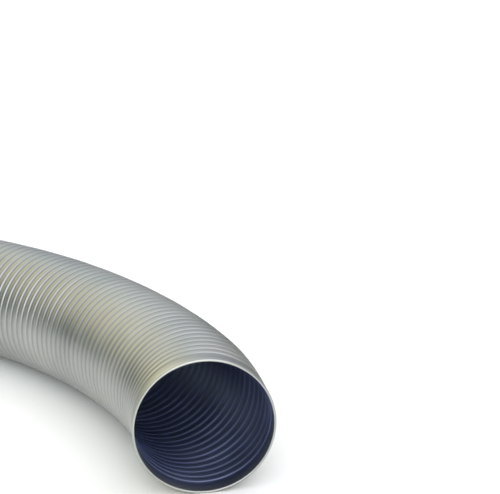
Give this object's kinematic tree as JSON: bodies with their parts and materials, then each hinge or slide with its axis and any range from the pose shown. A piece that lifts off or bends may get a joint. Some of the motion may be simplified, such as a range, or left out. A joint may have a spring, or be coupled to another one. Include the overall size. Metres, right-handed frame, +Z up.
{
  "type": "flexible aluminium duct",
  "caption": "Length of flexible corrugated aluminium ventilation duct, lying in a gentle curve, open at both ends with a plain cuff and rolled lip.",
  "frame": {"origin": "centre of the rear opening, on the tube's axis, one outside radius above the floor", "axes": "+X along the straight rear run into the tube, +Z up; the tube then bends in plan toward -Y and ends at the mouth"},
  "size_m": [0.9873, 0.3708, 0.155],
  "materials": {
    "duct_aluminium": "satin rolled foil"
  },
  "bodies": {
    "root": {"duct": "duct_aluminium"}
  },
  "joints": []
}
